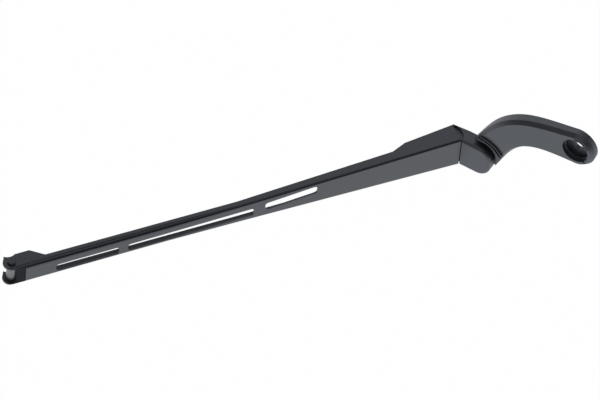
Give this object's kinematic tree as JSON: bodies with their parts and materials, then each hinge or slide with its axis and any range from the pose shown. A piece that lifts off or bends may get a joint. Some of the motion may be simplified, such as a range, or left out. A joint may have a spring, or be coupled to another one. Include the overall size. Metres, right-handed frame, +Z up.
{
  "type": "wiper arm",
  "caption": "Folding wiper arm: a tapered, slotted sheet channel with a blade fork, hinged to a cast swan-neck head with a spindle seat and pulled down by a coil spring.",
  "frame": {"origin": "on the spindle axis, at the nut seat in the head's recess", "axes": "+X along the arm from the blade fork to the hinge, +Y to the glass side of the arm, +Z up along the hinge pin"},
  "size_m": [0.5325, 0.1239, 0.1114],
  "materials": {
    "black_paint": "satin",
    "pin_steel": "satin",
    "spring_steel": "satin",
    "bush": "satin"
  },
  "bodies": {
    "head": {"mounting_head": "black_paint", "hinge_bush_upper": "bush", "hinge_bush_lower": "bush", "anchor_pin": "pin_steel"},
    "arm": {"arm_channel": "black_paint", "hinge_pin": "black_paint", "spring_pin": "black_paint", "blade_pin": "black_paint"},
    "sleeve": {"blade_pin_sleeve": "pin_steel"},
    "spring_link": {"spring_hook": "spring_steel", "tension_spring": "spring_steel"}
  },
  "joints": [
    {"name": "arm_fold", "type": "hinge", "parent": "head", "child": "arm", "pos_m": [-0.08366, 0.0949, -0.07571], "axis": [0, 0, -1], "range_deg": [0, 70]},
    {"name": "hook_swing", "type": "hinge", "parent": "head", "child": "spring_link", "pos_m": [-0.07248, 0.09313, -0.07571], "axis": [0, 0, -1], "range_deg": [0, 66], "deforming": ["tension_spring"]},
    {"name": "sleeve_turn", "type": "hinge", "parent": "arm", "child": "sleeve", "pos_m": [-0.51266, 0.0941, -0.07571], "axis": [0, 0, 1], "continuous": true}
  ],
  "couplings": [
    {"joint": "hook_swing", "follows": "arm_fold", "ratio": 0.92}
  ]
}
